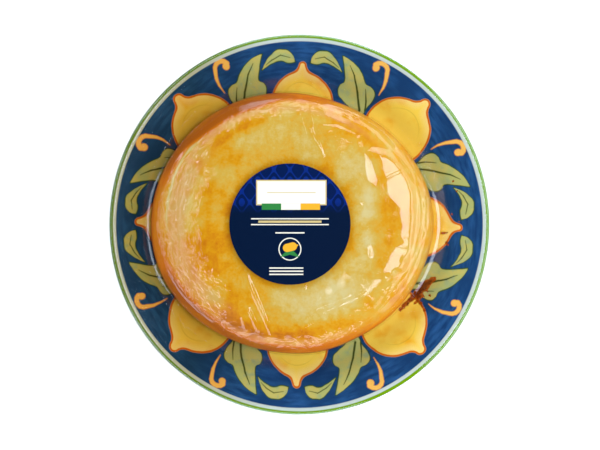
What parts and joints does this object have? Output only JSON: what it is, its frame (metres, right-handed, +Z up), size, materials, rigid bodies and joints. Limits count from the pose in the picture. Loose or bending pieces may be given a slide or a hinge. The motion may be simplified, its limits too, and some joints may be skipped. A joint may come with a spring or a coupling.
{
  "type": "baked ricotta on plate",
  "caption": "Low oval round of baked ricotta with a browned crust on a shallow round painted plate, shrink-wrapped in clear film, with a round label stuck on top.",
  "frame": {"origin": "on the plate's axis, in the plane that its foot ring stands on", "axes": "+Z up along the plate's axis, +Y towards the top of the label, +X towards its right-hand side"},
  "size_m": [0.161, 0.161, 0.0285],
  "materials": {
    "plate": "glazed earthenware, cobalt blue ground painted with lemons and leaves, green edge line",
    "ricotta": "baked cheese crust, cream yellow with amber browning, slightly moist",
    "film": "thin clear shrink film, glossy",
    "label": "coated paper sticker, satin, navy"
  },
  "bodies": {
    "root": {"plate": "plate", "ricotta": "ricotta", "film": "film", "label": "label"}
  },
  "joints": []
}
